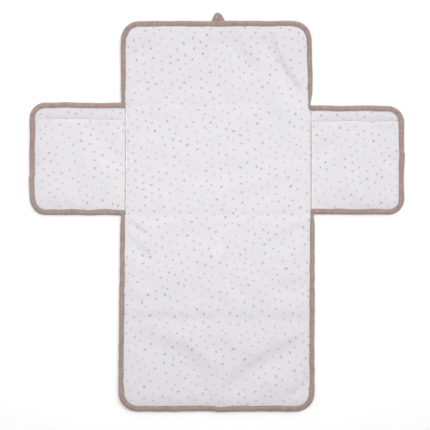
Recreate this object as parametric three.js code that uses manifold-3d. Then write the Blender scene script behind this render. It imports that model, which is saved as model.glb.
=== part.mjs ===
// A foldable changing pad lying open, face up: a long quilted mat in four sections (top flap,
// centre, lower section and foot), with a pocketed wing sewn to each side of the centre.
// The top flap ends in a tape loop, which hooks over a button on the lower section's underside
// when the pad is folded up.
//
// Units are millimetres. +X is to the right, +Y runs towards the loop and +Z is up. The origin is
// under the middle of the open pad, on the surface that it lies on.

import * as THREE from 'three';
import { mergeVertices } from 'three/addons/utils/BufferGeometryUtils.js';
import Module from 'manifold-3d';

const wasm = await Module();
wasm.setup();

// ---- Driving dimensions ----

// The mat, from the loop end to the foot end.
const flapLength = 145;
const centreLength = 194;
const lowerLength = 181;
const footLength = 164;
const matWidth = 335;           // over the binding, at the loop end
const footSpread = 9;           // how much wider the mat is at the foot end
const matCornerRadius = 33;

// The wings, which fold inwards over the centre.
const seamAllowance = 3.45;     // the mat's edge that each wing's seam takes up
const wingLength = 163.2;       // from the seam to the wing's outer edge
const wingCornerRadius = 29;

// The layers of the mat and of a wing.
const clothThickness = 0.8;     // the printed cover, the backing and the pocket front
const matPadding = 5;
const pressedMatPadding = 2;    // the same wadding where the binding presses it
const wingPadding = 2.2;
const pressedWingPadding = 0.9;

// The binding, a tape folded over the edges of the layers.
const bindingThickness = 0.9;
const bindingReach = 10;        // how much of the top and of the underside it covers
const bindingEdgeRound = 1.6;
const lipSlope = 3.5;           // where the layers spread again beside the binding

// The pockets on the wings.
const mouthSetback = 29;        // from the wing's top edge down to the pocket's mouth
const pocketRoom = 5.4;         // height of the space inside
const pocketRise = 16;          // width over which the pocket front rises beside its seams

// The closing loop, a folded tape sewn to the top flap's end.
const loopReach = 16;
const loopOffset = 4;           // the loop sits this far to the right of the middle
const loopBaseWidth = 22;
const loopTipRadius = 5;
const loopThickness = 2.4;
const loopHoleWidth = 5.4;
const loopHoleStart = 2.4;      // from the loop's hinge line to its hole
const loopTipWall = 3.4;        // tape left between the hole and the loop's tip
const loopTipLean = Math.PI / 7; // where on its arc the tip takes over from the straight sides

// The button and the dimple that it sits in.
const buttonDiameter = 12;
const buttonThickness = 2.2;
const buttonRimWidth = 1.6;
const buttonRimHeight = 1;
const buttonHoleDiameter = 2;
const buttonHoleSpacing = 3.2;  // between two neighbouring holes
const buttonLift = 0.2;         // from the pad's resting surface up to the button
const buttonFromFold = 66;      // from the mid fold down to the button
const dimpleClearance = 1.2;    // between the button's edge and the foot of the dimple's wall
const dimpleSlope = 5;          // width of the dimple's sloping wall
const threadDiameter = 1.2;
const threadBarHeight = 0.6;
const threadShankHeight = 0.4;

// The pad folds up in this order: wings, foot, lower section, top flap. Each fold turns on a line
// high enough for it to close around what is already folded, with this much room to spare.
const foldClearance = 1;

// Fits and facets.
const fit = 0.3;                // gap kept between two pieces that touch
const cornerSteps = 8;          // facets on a rounded corner
const roundSteps = 32;          // facets around the button and its dimple
const cutHeight = 60;           // half the height of a cutting block, taller than any piece
const overrun = 60;             // how far an uncut layer runs on past a seam or fold
const drillThrough = 1;         // how far a cutting shape passes a face

// ---- Places worked out from the sizes ----

const matLength = flapLength + centreLength + lowerLength + footLength;
const matTop = (matLength - loopReach) / 2;
const matBottom = matTop - matLength;
const flapFoldY = matTop - flapLength;
const midFoldY = flapFoldY - centreLength;
const endFoldY = midFoldY - lowerLength;
const wingTopY = flapFoldY - fit / 2;
const wingBottomY = midFoldY + fit / 2;
const mouthY = wingTopY - mouthSetback;
const buttonY = midFoldY - buttonFromFold;

// The mat widens evenly towards the foot, and the wings are sewn on inside its edge.
const spreadAt = (y) => 1 + (footSpread / matWidth) * (matTop - y) / matLength;
const seamHalfWidth = spreadAt(flapFoldY) * matWidth / 2 - seamAllowance;

// Layers as levels, from the underside up: once where they lie free and once at a bound edge.
const edgeInset = bindingThickness + fit;
const matFree = stack(0, [clothThickness, matPadding, clothThickness]);
const matPressed = stack(edgeInset, [clothThickness, pressedMatPadding, clothThickness]);
const wingFree = stack(0, [clothThickness, wingPadding, clothThickness]);
const wingPressed = stack(
  edgeInset,
  [clothThickness, pressedWingPadding, clothThickness, clothThickness],
);
const pocketLow = wingFree[2].high + pocketRoom;
const pocketFree = { low: pocketLow, high: pocketLow + clothThickness };
const matHeight = matFree[2].high;

// The height of each fold line.
const wingFoldZ = (matHeight + foldClearance + pocketFree.high) / 2;
const endFoldZ = matHeight + foldClearance / 2;
const foldedWingTop = 2 * wingFoldZ;
const foldedFootTop = 2 * endFoldZ;
const midFoldZ = (foldedWingTop + foldClearance + foldedFootTop) / 2;
const flapFoldZ = (2 * midFoldZ + foldClearance + matHeight) / 2;
const loopHingeY = matTop + fit + loopThickness / 2;
const loopHingeZ = edgeHeight(matPressed) / 2;

// ---- Materials ----

const printFabric = cloth(0xe7e5e7, 0.9);
const bindingFabric = cloth(0xa6948c, 0.88);
const backingFabric = cloth(0xdedad7, 0.8);
const waddingFibre = cloth(0xf3f3f1, 1);
const buttonPlastic = cloth(0x9c8b82, 0.4);
const sewingThread = cloth(0xb9aaa1, 0.7);

function cloth(color, roughness) {
  return new THREE.MeshStandardMaterial({ color, roughness, metalness: 0, flatShading: true });
}

// ---- Shared shape building ----

// Layers lying on one another, with the fitting gap between them.
function stack(base, thicknesses) {
  let low = base;
  return thicknesses.map((thickness) => {
    const level = { low, high: low + thickness };
    low = level.high + fit;
    return level;
  });
}

// Height of a binding around pressed layers.
function edgeHeight(pressed) {
  return pressed[pressed.length - 1].high + fit + bindingThickness;
}

// A rounded outline at height z, anticlockwise, moved in from the panel's edge by an inset.
function ringOf(panel, inset, z) {
  const left = panel.left + inset;
  const right = panel.right - inset;
  const bottom = panel.bottom + inset;
  const top = panel.top - inset;
  const places = [[right, bottom], [right, top], [left, top], [left, bottom]];
  const points = [];
  places.forEach(([x, y], corner) => {
    const radius = Math.max(panel.radii[corner] - inset, fit);
    const centreX = x === right ? x - radius : x + radius;
    const centreY = y === top ? y - radius : y + radius;
    for (let step = 0; step <= cornerSteps; step += 1) {
      const angle = (corner - 1 + step / cornerSteps) * Math.PI / 2;
      const px = centreX + radius * Math.cos(angle);
      const py = centreY + radius * Math.sin(angle);
      points.push(new THREE.Vector3(px * panel.spreadAt(py), py, z));
    }
  });
  return points;
}

// A closed surface through rings of equally many points. A looped one ends where it starts,
// and any other is capped at its first and last rings.
function loft(rings, looped) {
  const count = rings[0].length;
  const positions = rings.flat().flatMap((p) => [p.x, p.y, p.z]);
  const faces = [];
  const strips = looped ? rings.length : rings.length - 1;
  for (let r = 0; r < strips; r += 1) {
    const here = r * count;
    const next = ((r + 1) % rings.length) * count;
    for (let j = 0; j < count; j += 1) {
      const k = (j + 1) % count;
      faces.push(here + j, here + k, next + k, here + j, next + k, next + j);
    }
  }
  if (!looped) {
    addCap(positions, faces, rings[0], 0, true);
    addCap(positions, faces, rings[rings.length - 1], (rings.length - 1) * count, false);
  }
  return solidFrom(positions, faces);
}

function addCap(positions, faces, ring, first, facesDown) {
  const middle = positions.length / 3;
  const sum = ring.reduce((total, p) => total.add(p), new THREE.Vector3());
  sum.divideScalar(ring.length);
  positions.push(sum.x, sum.y, sum.z);
  for (let j = 0; j < ring.length; j += 1) {
    const k = (j + 1) % ring.length;
    if (facesDown) faces.push(middle, first + k, first + j);
    else faces.push(middle, first + j, first + k);
  }
}

function solidFrom(positions, faces) {
  const vertProperties = new Float32Array(positions);
  const triVerts = new Uint32Array(faces);
  return new wasm.Manifold(new wasm.Mesh({ numProp: 3, vertProperties, triVerts }));
}

function solidOf(geometry) {
  const bare = geometry.index ? geometry.toNonIndexed() : geometry;
  bare.deleteAttribute('normal');
  bare.deleteAttribute('uv');
  const merged = mergeVertices(bare, 1e-4);
  return solidFrom(merged.attributes.position.array, merged.index.array);
}

function geometryOf(solid) {
  const mesh = solid.getMesh();
  const geometry = new THREE.BufferGeometry();
  geometry.setAttribute('position', new THREE.BufferAttribute(mesh.vertProperties, 3));
  geometry.setIndex(new THREE.BufferAttribute(mesh.triVerts, 1));
  geometry.computeVertexNormals();
  return geometry;
}

// A tall block for cutting a layer off at a seam or a fold.
function block(left, right, bottom, top) {
  const geometry = new THREE.BoxGeometry(right - left, top - bottom, 2 * cutHeight);
  geometry.translate((left + right) / 2, (bottom + top) / 2, 0);
  return solidOf(geometry);
}

// A layer that is thin under the binding and has its free height further in.
function layerOf(panel, pressed, free, slope) {
  const pressedTo = bindingReach + fit;
  const freeFrom = pressedTo + slope;
  const levels = [[edgeInset, pressed], [pressedTo, pressed], [freeFrom, free]];
  const under = levels.map(([inset, level]) => ringOf(panel, inset, level.low)).reverse();
  const over = levels.map(([inset, level]) => ringOf(panel, inset, level.high));
  return loft([...under, ...over], false);
}

// The binding: a tape folded over the edge, with its opening facing inwards.
function bindingOf(panel, height) {
  const wall = bindingThickness;
  const round = bindingEdgeRound;
  const halfway = round * (1 - Math.SQRT1_2);
  const profile = [
    [bindingReach, 0],
    [round, 0],
    [halfway, halfway],
    [0, round],
    [0, height - round],
    [halfway, height - halfway],
    [round, height],
    [bindingReach, height],
    [bindingReach, height - wall],
    [wall, height - wall],
    [wall, wall],
    [bindingReach, wall],
  ];
  return loft(profile.map(([inset, z]) => ringOf(panel, inset, z)), true);
}

// ---- The mat ----

const mat = {
  left: -matWidth / 2,
  right: matWidth / 2,
  bottom: matBottom,
  top: matTop,
  radii: [matCornerRadius, matCornerRadius, matCornerRadius, matCornerRadius],
  spreadAt,
};

const widest = matWidth + footSpread + overrun;

const sections = {
  top_flap: block(-widest, widest, flapFoldY + fit / 2, matTop + overrun),
  centre: block(
    -seamHalfWidth + fit / 2,
    seamHalfWidth - fit / 2,
    midFoldY + fit / 2,
    flapFoldY - fit / 2,
  ),
  lower: block(-widest, widest, endFoldY + fit / 2, midFoldY - fit / 2),
  foot: block(-widest, widest, matBottom - overrun, endFoldY - fit / 2),
};

const wholeMat = {
  backing: layerOf(mat, matPressed[0], matFree[0], lipSlope),
  padding: layerOf(mat, matPressed[1], matFree[1], lipSlope),
  cover: layerOf(mat, matPressed[2], matFree[2], lipSlope),
  binding: bindingOf(mat, edgeHeight(matPressed)),
};

const layerMaterial = {
  backing: backingFabric,
  padding: waddingFibre,
  cover: printFabric,
  binding: bindingFabric,
};

function matSection(name) {
  return {
    backing: wholeMat.backing.intersect(sections[name]),
    padding: wholeMat.padding.intersect(sections[name]),
    cover: wholeMat.cover.intersect(sections[name]),
  };
}

// ---- The button, its thread and its dimple in the lower section ----

const buttonTop = buttonLift + buttonThickness;
const shankLow = buttonTop + fit;
const dimpleCeiling = shankLow + threadShankHeight + fit;
const dimpleCeilingRadius = buttonDiameter / 2 + dimpleClearance;
const dimpleMouthRadius = dimpleCeilingRadius + dimpleSlope;

// Turns a profile of [radius, height] pairs about a standing line through the button.
function turned(profile) {
  const points = profile.map(([radius, z]) => new THREE.Vector2(radius, z));
  const geometry = new THREE.LatheGeometry(points, roundSteps);
  geometry.rotateX(Math.PI / 2);
  geometry.translate(0, buttonY, 0);
  return solidOf(geometry);
}

function post(radius, low, high, x, y) {
  const geometry = new THREE.CylinderGeometry(radius, radius, high - low, roundSteps / 2);
  geometry.rotateX(Math.PI / 2);
  geometry.translate(x, y, (low + high) / 2);
  return solidOf(geometry);
}

// The space that the dimple takes up, grown by a margin, from just below the resting surface.
function dimpleSpace(margin) {
  return turned([
    [0, -drillThrough],
    [dimpleMouthRadius + margin, -drillThrough],
    [dimpleMouthRadius + margin, 0],
    [dimpleCeilingRadius + margin, dimpleCeiling + margin],
    [0, dimpleCeiling + margin],
  ]);
}

// The backing with the dimple's cup of cloth in it.
function dimpledBacking(flat) {
  const above = new THREE.BoxGeometry(widest, widest, cutHeight);
  above.translate(0, buttonY, cutHeight / 2);
  const cup = dimpleSpace(clothThickness).intersect(solidOf(above));
  return flat.add(cup).subtract(dimpleSpace(0));
}

const holePlaces = [[-1, -1], [1, -1], [1, 1], [-1, 1]].map(([sideX, sideY]) => [
  sideX * buttonHoleSpacing / 2,
  buttonY + sideY * buttonHoleSpacing / 2,
]);

function buttonSolid() {
  const rimInner = buttonDiameter / 2 - buttonRimWidth;
  const dishTop = buttonLift + buttonRimHeight;
  const disc = turned([
    [0, dishTop],
    [rimInner, dishTop],
    [rimInner + fit, buttonLift],
    [buttonDiameter / 2 - fit, buttonLift],
    [buttonDiameter / 2, buttonLift + fit],
    [buttonDiameter / 2, buttonTop - fit],
    [buttonDiameter / 2 - fit, buttonTop],
    [0, buttonTop],
  ]);
  const drillTop = buttonTop + drillThrough;
  return holePlaces.reduce(
    (solid, [x, y]) => solid.subtract(post(buttonHoleDiameter / 2, 0, drillTop, x, y)),
    disc,
  );
}

// Thread through the four holes: two bars on the outer face and a flat shank behind.
function threadSolid() {
  const radius = threadDiameter / 2;
  const barHigh = buttonLift + buttonRimHeight - fit;
  const barLow = barHigh - threadBarHeight;
  const shankRadius = buttonHoleSpacing * Math.SQRT1_2 + threadDiameter;
  let solid = post(shankRadius, shankLow, shankLow + threadShankHeight, 0, buttonY);
  for (const [x, y] of holePlaces) {
    solid = solid.add(post(radius, barLow, shankLow + threadShankHeight, x, y));
  }
  for (const side of [-1, 1]) {
    const bar = new THREE.BoxGeometry(buttonHoleSpacing, threadDiameter, threadBarHeight);
    bar.translate(0, buttonY + side * buttonHoleSpacing / 2, (barLow + barHigh) / 2);
    solid = solid.add(solidOf(bar));
  }
  return solid;
}

// ---- The closing loop ----

// An arch of tape lying flat, from its hinge line at y = 0 to its tip.
function loopSolid() {
  const reach = matTop + loopReach - loopHingeY;
  const half = loopBaseWidth / 2;
  const tipY = reach - loopTipRadius;
  const arch = new THREE.Shape();
  arch.moveTo(-half, 0);
  arch.lineTo(half, 0);
  arch.lineTo(
    loopTipRadius * Math.cos(loopTipLean),
    tipY + loopTipRadius * Math.sin(loopTipLean),
  );
  arch.absarc(0, tipY, loopTipRadius, loopTipLean, Math.PI - loopTipLean, false);
  arch.closePath();

  const holeRadius = loopHoleWidth / 2;
  const hole = new THREE.Path();
  hole.moveTo(-holeRadius, loopHoleStart);
  hole.lineTo(holeRadius, loopHoleStart);
  hole.absarc(0, reach - loopTipWall - holeRadius, holeRadius, 0, Math.PI, false);
  hole.closePath();
  arch.holes.push(hole);

  const settings = { depth: loopThickness, bevelEnabled: false, curveSegments: cornerSteps };
  const tape = new THREE.ExtrudeGeometry(arch, settings);
  tape.translate(loopOffset, loopHingeY, loopHingeZ - loopThickness / 2);
  const roll = new THREE.CylinderGeometry(
    loopThickness / 2,
    loopThickness / 2,
    loopBaseWidth,
    roundSteps / 2,
  );
  roll.rotateZ(Math.PI / 2);
  roll.translate(loopOffset, loopHingeY, loopHingeZ);
  return solidOf(tape).add(solidOf(roll));
}

// ---- The wings ----

// A wing's outline on one side (-1 left, 1 right). It runs on inside its seam, where it is cut.
function wingPanel(side) {
  const near = side * (seamHalfWidth - overrun);
  const far = side * (seamHalfWidth + wingLength);
  return {
    left: Math.min(near, far),
    right: Math.max(near, far),
    bottom: wingBottomY,
    top: wingTopY,
    radii: [wingCornerRadius, wingCornerRadius, wingCornerRadius, wingCornerRadius],
    spreadAt: () => 1,
  };
}

// The pocket front's outline: square where the seam holds it, and run on above its mouth.
function pocketPanel(side) {
  const seam = side * (seamHalfWidth + fit / 2 - edgeInset);
  const wing = wingPanel(side);
  const outerCorner = side > 0 ? 0 : 3;
  const radii = [0, 0, 0, 0];
  radii[outerCorner] = wingCornerRadius;
  return {
    ...wing,
    left: side > 0 ? seam : wing.left,
    right: side > 0 ? wing.right : seam,
    top: mouthY + overrun,
    radii,
  };
}

function wingSide(side) {
  const seam = side * (seamHalfWidth + fit / 2);
  const beyond = side * (seamHalfWidth + wingLength + overrun);
  return [Math.min(seam, beyond), Math.max(seam, beyond)];
}

function wingPieces(side) {
  const [left, right] = wingSide(side);
  const panel = wingPanel(side);
  const outside = block(left, right, wingBottomY - overrun, wingTopY + overrun);
  const belowMouth = block(left, right, wingBottomY - overrun, mouthY);
  return {
    backing: layerOf(panel, wingPressed[0], wingFree[0], lipSlope).intersect(outside),
    padding: layerOf(panel, wingPressed[1], wingFree[1], lipSlope).intersect(outside),
    cover: layerOf(panel, wingPressed[2], wingFree[2], lipSlope).intersect(outside),
    binding: bindingOf(panel, edgeHeight(wingPressed)).intersect(outside),
    pocket: layerOf(pocketPanel(side), wingPressed[3], pocketFree, pocketRise)
      .intersect(belowMouth),
  };
}

// ---- Assembly: one group for each body, standing at the fold that it turns on ----

const pad = new THREE.Group();
pad.name = 'changing_pad';

function bodyAt(parent, name, x, y, z) {
  const body = new THREE.Group();
  body.name = name;
  body.userData.foldAt = new THREE.Vector3(x, y, z);
  const parentAt = parent.userData.foldAt ?? new THREE.Vector3();
  body.position.copy(body.userData.foldAt).sub(parentAt);
  parent.add(body);
  return body;
}

// Adds a piece that was shaped in the pad's own frame.
function addPiece(body, name, solid, material) {
  const geometry = geometryOf(solid);
  const piece = new THREE.Mesh(geometry, material);
  piece.name = name;
  piece.position.copy(body.userData.foldAt).negate();
  body.add(piece);
}

function addLayers(body, prefix, pieces) {
  for (const [layer, solid] of Object.entries(pieces)) {
    addPiece(body, `${prefix}_${layer}`, solid, layerMaterial[layer]);
  }
}

function bindingWithin(name, left, right) {
  const side = block(left, right, matBottom - overrun, matTop + overrun);
  return wholeMat.binding.intersect(sections[name]).intersect(side);
}

const centre = bodyAt(pad, 'centre', 0, 0, 0);
addLayers(centre, 'centre', matSection('centre'));

const flap = bodyAt(centre, 'top_flap', 0, flapFoldY, flapFoldZ);
addLayers(flap, 'top_flap', matSection('top_flap'));
addPiece(flap, 'top_flap_binding', bindingWithin('top_flap', -widest, widest), bindingFabric);

const loop = bodyAt(flap, 'loop', loopOffset, loopHingeY, loopHingeZ);
addPiece(loop, 'closing_loop', loopSolid(), bindingFabric);

const lower = bodyAt(centre, 'lower', 0, midFoldY, midFoldZ);
const lowerLayers = matSection('lower');
lowerLayers.backing = dimpledBacking(lowerLayers.backing);
lowerLayers.padding = lowerLayers.padding.subtract(dimpleSpace(clothThickness + fit));
addLayers(lower, 'lower', lowerLayers);
addPiece(lower, 'lower_binding_left', bindingWithin('lower', -widest, 0), bindingFabric);
addPiece(lower, 'lower_binding_right', bindingWithin('lower', 0, widest), bindingFabric);
addPiece(lower, 'closing_button', buttonSolid(), buttonPlastic);
addPiece(lower, 'button_thread', threadSolid(), sewingThread);

const foot = bodyAt(lower, 'foot', 0, endFoldY, endFoldZ);
addLayers(foot, 'foot', matSection('foot'));
addPiece(foot, 'foot_binding', bindingWithin('foot', -widest, widest), bindingFabric);

for (const [side, name] of [[-1, 'left'], [1, 'right']]) {
  const wing = bodyAt(centre, `${name}_wing`, side * seamHalfWidth, 0, wingFoldZ);
  const { pocket, ...layers } = wingPieces(side);
  addLayers(wing, `${name}_wing`, layers);
  addPiece(wing, `${name}_pocket`, pocket, printFabric);
}

export default pad;
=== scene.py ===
import math

import bpy
import numpy as np
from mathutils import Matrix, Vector


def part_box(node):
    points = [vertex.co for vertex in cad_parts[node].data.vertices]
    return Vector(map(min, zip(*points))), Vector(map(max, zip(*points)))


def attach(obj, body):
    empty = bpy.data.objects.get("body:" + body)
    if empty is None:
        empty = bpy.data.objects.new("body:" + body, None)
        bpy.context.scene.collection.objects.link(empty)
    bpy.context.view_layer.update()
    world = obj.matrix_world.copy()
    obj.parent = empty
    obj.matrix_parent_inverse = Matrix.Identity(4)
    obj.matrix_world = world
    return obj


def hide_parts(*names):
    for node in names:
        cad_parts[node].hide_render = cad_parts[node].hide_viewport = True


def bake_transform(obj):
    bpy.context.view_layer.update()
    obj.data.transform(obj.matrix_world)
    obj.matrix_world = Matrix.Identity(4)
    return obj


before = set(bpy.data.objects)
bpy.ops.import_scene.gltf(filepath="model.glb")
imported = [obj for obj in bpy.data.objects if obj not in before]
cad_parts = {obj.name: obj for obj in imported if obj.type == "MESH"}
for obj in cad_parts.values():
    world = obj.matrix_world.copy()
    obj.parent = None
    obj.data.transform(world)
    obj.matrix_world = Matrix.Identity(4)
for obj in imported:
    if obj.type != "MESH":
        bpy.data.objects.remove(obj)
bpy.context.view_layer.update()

perMetre = 1000.0  # shapes are worked out in millimetres and written in metres


def boxOf(node):
    low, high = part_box(node)
    return np.array(low) * perMetre, np.array(high) * perMetre


def smoothStep(t):
    t = np.clip(t, 0.0, 1.0)
    return t * t * (3.0 - 2.0 * t)


def ripples(x, y, seed, shortest, longest, count=7):
    # a seeded sum of plane waves, about 1 high
    rng = np.random.default_rng(seed)
    total = np.zeros(np.broadcast(x, y).shape)
    for _ in range(count):
        angle = rng.uniform(0.0, 2.0 * math.pi)
        wave = 2.0 * math.pi / rng.uniform(shortest, longest)
        phase = rng.uniform(0.0, 2.0 * math.pi)
        total += np.sin(wave * (x * math.cos(angle) + y * math.sin(angle)) + phase)
    return total / math.sqrt(count)


def roundedInset(x, y, left, right, bottom, top, radius):
    # how far a point lies inside the edge of a rounded rectangle
    sideways = np.abs(x - (left + right) / 2.0) - (right - left) / 2.0 + radius
    lengthways = np.abs(y - (bottom + top) / 2.0) - (top - bottom) / 2.0 + radius
    outside = np.hypot(np.maximum(sideways, 0.0), np.maximum(lengthways, 0.0))
    return radius - outside - np.minimum(np.maximum(sideways, lengthways), 0.0)


def unit(vectors):
    return vectors / np.maximum(np.linalg.norm(vectors, axis=-1, keepdims=True), 1e-9)


def gridNormals(points):
    return unit(np.cross(np.gradient(points, axis=1), np.gradient(points, axis=0)))


def lengthsAlong(points):
    return np.concatenate([[0.0], np.cumsum(np.linalg.norm(np.diff(points, axis=0), axis=1))])


def addObject(name, data):
    made = bpy.data.objects.new(name, data)
    bpy.context.scene.collection.objects.link(made)
    return made


# the places that everything is worked out from

flapBindingHigh = boxOf("top_flap_binding")[1]
centreLow, centreHigh = boxOf("centre_cover")
buttonLow, buttonHigh = boxOf("closing_button")
matTop = flapBindingHigh[1]
matBottom = boxOf("foot_binding")[0][1]
flapFoldY = centreHigh[1]
midFoldY = centreLow[1]
endFoldY = boxOf("foot_cover")[1][1]
coverTop = centreHigh[2]
bindingTop = flapBindingHigh[2]

# node helpers

def addNode(tree, kind, inputs=None, **settings):
    made = tree.nodes.new(kind)
    for name, value in settings.items():
        setattr(made, name, value)
    for name, value in (inputs or {}).items():
        if isinstance(value, bpy.types.NodeSocket):
            tree.links.new(value, made.inputs[name])
        else:
            made.inputs[name].default_value = value
    return made


def maths(tree, operation, first, second=0.0, third=0.0):
    return addNode(tree, "ShaderNodeMath", {0: first, 1: second, 2: third}, operation=operation).outputs[0]


def vectorMaths(tree, operation, *values):
    made = addNode(tree, "ShaderNodeVectorMath", dict(enumerate(values)), operation=operation)
    return made.outputs["Value" if operation in ("LENGTH", "DISTANCE") else "Vector"]


def splitXYZ(tree, vector):
    return addNode(tree, "ShaderNodeSeparateXYZ", {0: vector}).outputs


def joinXY(tree, x, y):
    return addNode(tree, "ShaderNodeCombineXYZ", {"X": x, "Y": y}).outputs[0]


def mixColour(tree, factor, first, second, blend="MIX"):
    return addNode(tree, "ShaderNodeMix", {0: factor, 6: first, 7: second}, data_type="RGBA",
                   blend_type=blend).outputs[2]


def ramp(tree, value, low, high, outLow=0.0, outHigh=1.0):
    return addNode(tree, "ShaderNodeMapRange",
                   {"Value": value, "From Min": low, "From Max": high, "To Min": outLow, "To Max": outHigh},
                   interpolation_type="SMOOTHSTEP").outputs["Result"]


def noise(tree, place, scale, detail, dimensions="2D", distortion=0.0, output="Fac"):
    return addNode(tree, "ShaderNodeTexNoise",
                   {"Vector": place, "Scale": scale, "Detail": detail, "Distortion": distortion},
                   noise_dimensions=dimensions).outputs[output]


def startMaterial(name, roughness, sheen, specular=0.2):
    material = bpy.data.materials.new(name)
    material.use_nodes = True
    shader = material.node_tree.nodes["Principled BSDF"]
    for socket, value in (("Roughness", roughness), ("Sheen Weight", sheen), ("Sheen Roughness", 0.6),
                          ("Specular IOR Level", specular)):
        shader.inputs[socket].default_value = value
    return material, material.node_tree, shader


def clothMap(tree):
    return addNode(tree, "ShaderNodeUVMap", uv_map="clothMap").outputs["UV"]


def objectPlace(tree):
    return addNode(tree, "ShaderNodeTexCoord").outputs["Object"]


def weaveHeight(tree, place, threadsPerCm):
    # two sets of threads, over and under one another
    bands = [addNode(tree, "ShaderNodeTexWave",
                     {"Vector": place, "Scale": threadsPerCm / 3.1, "Distortion": 0.6, "Detail": 1.0,
                      "Detail Scale": 1.5},
                     wave_type="BANDS", bands_direction=direction, wave_profile="SIN").outputs["Fac"]
             for direction in ("X", "Y")]
    return maths(tree, "MULTIPLY", bands[0], bands[1])


def surface(tree, shader, colour, height, strength, depth):
    # depth is the bump's own, in metres
    bump = addNode(tree, "ShaderNodeBump", {"Height": height, "Strength": strength, "Distance": depth})
    tree.links.new(colour, shader.inputs["Base Color"])
    tree.links.new(bump.outputs["Normal"], shader.inputs["Normal"])


camera = {"lens": 85.0, "sensor": 36.0, "aimX": -3.2, "aimY": -6.0, "frameWidth": 754.5}


def makeCamera():
    data = bpy.data.cameras.new("camera")
    data.lens = camera["lens"]
    data.sensor_width = camera["sensor"]
    cam = addObject("camera", data)
    height = camera["frameWidth"] * camera["lens"] / camera["sensor"]
    cam.location = (camera["aimX"] / perMetre, camera["aimY"] / perMetre, height / perMetre)
    bpy.context.scene.camera = cam
    bpy.context.scene.view_settings.view_transform = "Standard"


studio = {
    "worldStrength": 0.42,
    "horizonStrength": 1.0,
    "horizonHeight": 0.4,
    "floorColour": (0.98, 0.98, 0.98, 1.0),
    "floorHalfWidth": 12.0,
    "overheadPlace": (-0.02, 0.085, 0.80),
    "overheadSize": (1.5, 0.45),
    "overheadWatts": 4.62,
    "sunStrength": 1.16,
    "sunSoftness": 30.0,
    "sunFrom": (1.0, 0.95, 0.9),
    "rakeStrength": 0.9,
    "rakeSoftness": 25.0,
    "rakeFrom": (-0.62, 1.0, 0.29),
}


def makeStudio():
    world = bpy.data.worlds.new("studio")
    world.use_nodes = True
    # the sky is brightest at the horizon, as a lit backdrop is
    sky = world.node_tree
    direction = addNode(sky, "ShaderNodeTexCoord").outputs["Generated"]
    fade = addNode(sky, "ShaderNodeMapRange",
                   {"Value": splitXYZ(sky, direction)["Z"],
                    "From Min": 0.0, "From Max": studio["horizonHeight"],
                    "To Min": studio["horizonStrength"], "To Max": studio["worldStrength"]})
    sky.links.new(fade.outputs["Result"], sky.nodes["Background"].inputs["Strength"])
    sky.nodes["Background"].inputs["Color"].default_value = (1.0, 1.0, 1.0, 1.0)
    bpy.context.scene.world = world

    overhead = bpy.data.lights.new("overhead", "AREA")
    overhead.shape = "RECTANGLE"
    overhead.size, overhead.size_y = studio["overheadSize"]
    overhead.energy = studio["overheadWatts"]
    addObject("overhead", overhead).location = studio["overheadPlace"]

    # the raking light shows the cloth's relief and casts no shadow
    for name, shadow in (("sun", True), ("rake", False)):
        light = bpy.data.lights.new(name, "SUN")
        light.energy = studio[name + "Strength"]
        light.angle = math.radians(studio[name + "Softness"])
        light.use_shadow = shadow
        towards = Vector(studio[name + "From"]).to_track_quat("Z", "Y")
        addObject(name, light).rotation_euler = towards.to_euler()

    half = studio["floorHalfWidth"]
    mesh = bpy.data.meshes.new("floor")
    mesh.from_pydata([(-half, -half, 0.0), (half, -half, 0.0), (half, half, 0.0), (-half, half, 0.0)],
                     [], [(0, 1, 2, 3)])
    material, _, shader = startMaterial("floorPaper", 0.95, 0.0, 0.1)
    shader.inputs["Base Color"].default_value = studio["floorColour"]
    mesh.materials.append(material)
    addObject("floor", mesh)


makeCamera()
makeStudio()
print("camera and studio made")


# materials

printCloth = {
    "ground": (0.712, 0.686, 0.708, 1.0),
    "groundCool": (0.690, 0.682, 0.712, 1.0),
    "taupe": (0.36, 0.335, 0.335, 1.0),
    "olive": (0.385, 0.38, 0.33, 1.0),
    "grey": (0.37, 0.375, 0.40, 1.0),
    "rose": (0.46, 0.375, 0.36, 1.0),
    "dabSpacing": 1.56,
    "dabJitter": 0.44,
    "latticeTurn": 0.38,
    "drift": 0.55,
    "driftScale": 0.11,
    "dabWidth": 0.180,
    "dabLength": 0.222,
    "threadsPerCm": 22.0,
    # painted highlight over the button: its centre, how far it reaches, and how much lighter it paints the
    # cloth
    "buttonHighlightPlace": ((buttonLow[0] + buttonHigh[0]) / 20.0, (buttonLow[1] + buttonHigh[1]) / 20.0),
    "buttonHighlightReach": 1.55,
    "buttonHighlightLift": 1.06,
    "frayScale": 7.0,
    "mottleScale": 0.55,
    "crumpleScale": 1.3,
    "dabEdge": (1.75, 0.95),       # where a dab's ragged edge begins and where it is full
    "dabSizes": (0.86, 1.13),
    "dabDepths": (0.38, 0.74),
}


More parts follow.
